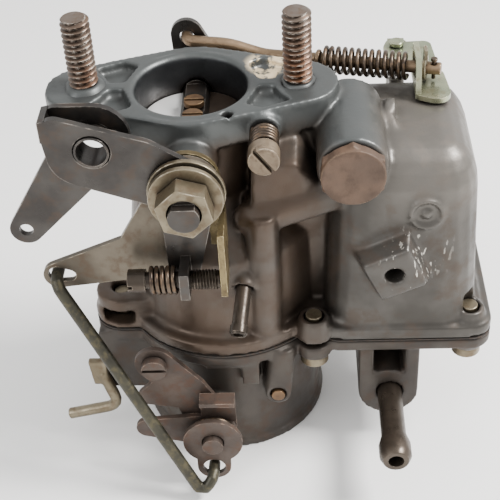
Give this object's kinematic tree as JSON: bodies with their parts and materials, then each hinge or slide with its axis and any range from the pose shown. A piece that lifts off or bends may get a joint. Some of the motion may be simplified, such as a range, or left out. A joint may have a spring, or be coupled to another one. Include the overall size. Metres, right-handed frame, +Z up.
{
  "type": "carburetor",
  "caption": "Downdraft carburetor with manual choke, standing on its air horn: flanged throttle bore with studs, float bowl, accelerator pump and lever linkages.",
  "frame": {"origin": "under the middle of the bounding box, on the plane the air horn's rim stands on", "axes": "+Z up through the throttle bore towards the mounting flange and its studs, +X towards the float bowl, -Y towards the throttle levers"},
  "size_m": [0.1308, 0.0888, 0.1325],
  "materials": {
    "casting": "dull zinc alloy, brown stains",
    "cover_casting": "dull dark zinc alloy",
    "steel": "dark oxidised steel",
    "dark_rod": "dark olive steel",
    "spring": "dark spring steel",
    "stud": "rusty brown steel",
    "zinc": "khaki zinc plate",
    "yellow_zinc": "pale yellow-green zinc plate",
    "brass": "brown tarnished brass",
    "copper_rod": "copper-brown rod",
    "gasket": "dark gasket fibre",
    "rubber": "black rubber",
    "float": "black plastic"
  },
  "bodies": {
    "housing": {"main_body": "casting", "air_horn_cover": "cover_casting", "cover_gasket": "gasket", "cover_screw_1": "zinc", "cover_screw_2": "zinc", "cover_screw_3": "zinc", "cover_screw_4": "zinc", "cover_screw_5": "zinc", "mount_stud_left": "stud", "mount_stud_right": "stud", "idle_stop_plate": "zinc", "mixture_spring": "spring", "main_jet_plug": "brass", "main_jet": "brass", "vacuum_nipple": "brass", "venturi": "casting", "discharge_nozzle": "brass", "emulsion_tube": "brass", "bleed_plug": "brass", "fuel_inlet_pipe": "brass", "needle_seat": "brass", "float_pin": "steel", "cable_bracket": "steel", "cable_clamp_screw": "steel", "stay_rod": "zinc", "pump_cover": "casting", "pump_diaphragm": "rubber", "pump_spring": "spring", "pump_lever_pin": "yellow_zinc", "choke_spring": "spring"},
    "throttle": {"throttle_shaft": "steel", "throttle_plate": "brass", "throttle_plate_screw_1": "brass", "throttle_plate_screw_2": "brass", "throttle_lever": "steel", "lever_disc": "zinc", "lever_washer": "zinc", "lever_nut": "zinc", "rear_throttle_lever": "steel", "rear_clip": "steel", "idle_screw_spring": "spring"},
    "idle_screw": {"idle_screw": "zinc"},
    "cable_bush": {"cable_bush": "steel"},
    "fast_idle": {"fast_idle_lever": "zinc"},
    "link": {"link_rod": "dark_rod"},
    "choke": {"choke_shaft": "steel", "choke_plate": "brass", "choke_plate_screw_1": "brass", "choke_plate_screw_2": "brass", "choke_lever": "steel"},
    "mixture_screw": {"mixture_screw": "brass"},
    "float": {"float": "float"},
    "needle": {"needle_valve": "steel"},
    "pump_rod": {"pump_rod": "copper_rod", "pump_rod_washer": "zinc", "cotter_pin": "spring", "pump_rod_spring": "spring"},
    "pump_lever": {"pump_lever": "yellow_zinc"},
    "pump_button": {"pump_button": "brass"}
  },
  "joints": [
    {"name": "throttle_turn", "type": "hinge", "parent": "housing", "child": "throttle", "pos_m": [-0.01655, 0.0076, 0.1], "axis": [0, 1, 0], "range_deg": [0, 75]},
    {"name": "idle_screw_turn", "type": "hinge", "parent": "throttle", "child": "idle_screw", "pos_m": [-0.02655, -0.0286, 0.0743], "axis": [1, 0, 0], "continuous": true},
    {"name": "cable_bush_turn", "type": "hinge", "parent": "throttle", "child": "cable_bush", "pos_m": [-0.03905, -0.0204, 0.1122], "axis": [0, 1, 0], "continuous": true},
    {"name": "choke_turn", "type": "hinge", "parent": "housing", "child": "choke", "pos_m": [-0.01505, 0.0076, 0.018], "axis": [0, 1, 0], "range_deg": [0, 75]},
    {"name": "fast_idle_turn", "type": "hinge", "parent": "housing", "child": "fast_idle", "pos_m": [-0.01655, -0.0204, 0.1], "axis": [0, 1, 0], "range_deg": [0, 14.2]},
    {"name": "link_swing", "type": "hinge", "parent": "fast_idle", "child": "link", "pos_m": [-0.05405, -0.0211, 0.0715], "axis": [0, 1, 0], "range_deg": [-9.6, 0]},
    {"name": "mixture_screw_turn", "type": "hinge", "parent": "housing", "child": "mixture_screw", "pos_m": [0.00305, -0.0124, 0.1065], "axis": [0, 1, 0], "continuous": true},
    {"name": "float_swing", "type": "hinge", "parent": "housing", "child": "float", "pos_m": [0.02445, 0.0076, 0.047], "axis": [0, -1, 0], "range_deg": [0, 10]},
    {"name": "needle_slide", "type": "slide", "parent": "housing", "child": "needle", "axis": [0, 0, 1], "range_m": [0, 0.0023]},
    {"name": "pump_rod_swing", "type": "hinge", "parent": "throttle", "child": "pump_rod", "pos_m": [-0.01955, 0.0335, 0.1105], "axis": [0, 1, 0], "range_deg": [-80.5, 0], "deforming": ["pump_rod_spring"]},
    {"name": "pump_lever_turn", "type": "hinge", "parent": "housing", "child": "pump_lever", "pos_m": [0.04065, 0.04, 0.1025], "axis": [0, 0, 1], "range_deg": [0, 15.2]},
    {"name": "pump_button_slide", "type": "slide", "parent": "housing", "child": "pump_button", "axis": [0, -1, 0], "range_m": [0, 0.0021], "deforming": ["pump_spring"]}
  ],
  "couplings": [
    {"joint": "fast_idle_turn", "follows": "choke_turn", "ratio": 0.184},
    {"joint": "link_swing", "follows": "choke_turn", "ratio": -0.1243},
    {"joint": "needle_slide", "follows": "float_swing", "m_per_rad": 0.0124},
    {"joint": "pump_rod_swing", "follows": "throttle_turn", "ratio": -1.07},
    {"joint": "pump_lever_turn", "follows": "throttle_turn", "ratio": 0.2},
    {"joint": "pump_button_slide", "follows": "throttle_turn", "m_per_rad": 0.001566}
  ]
}
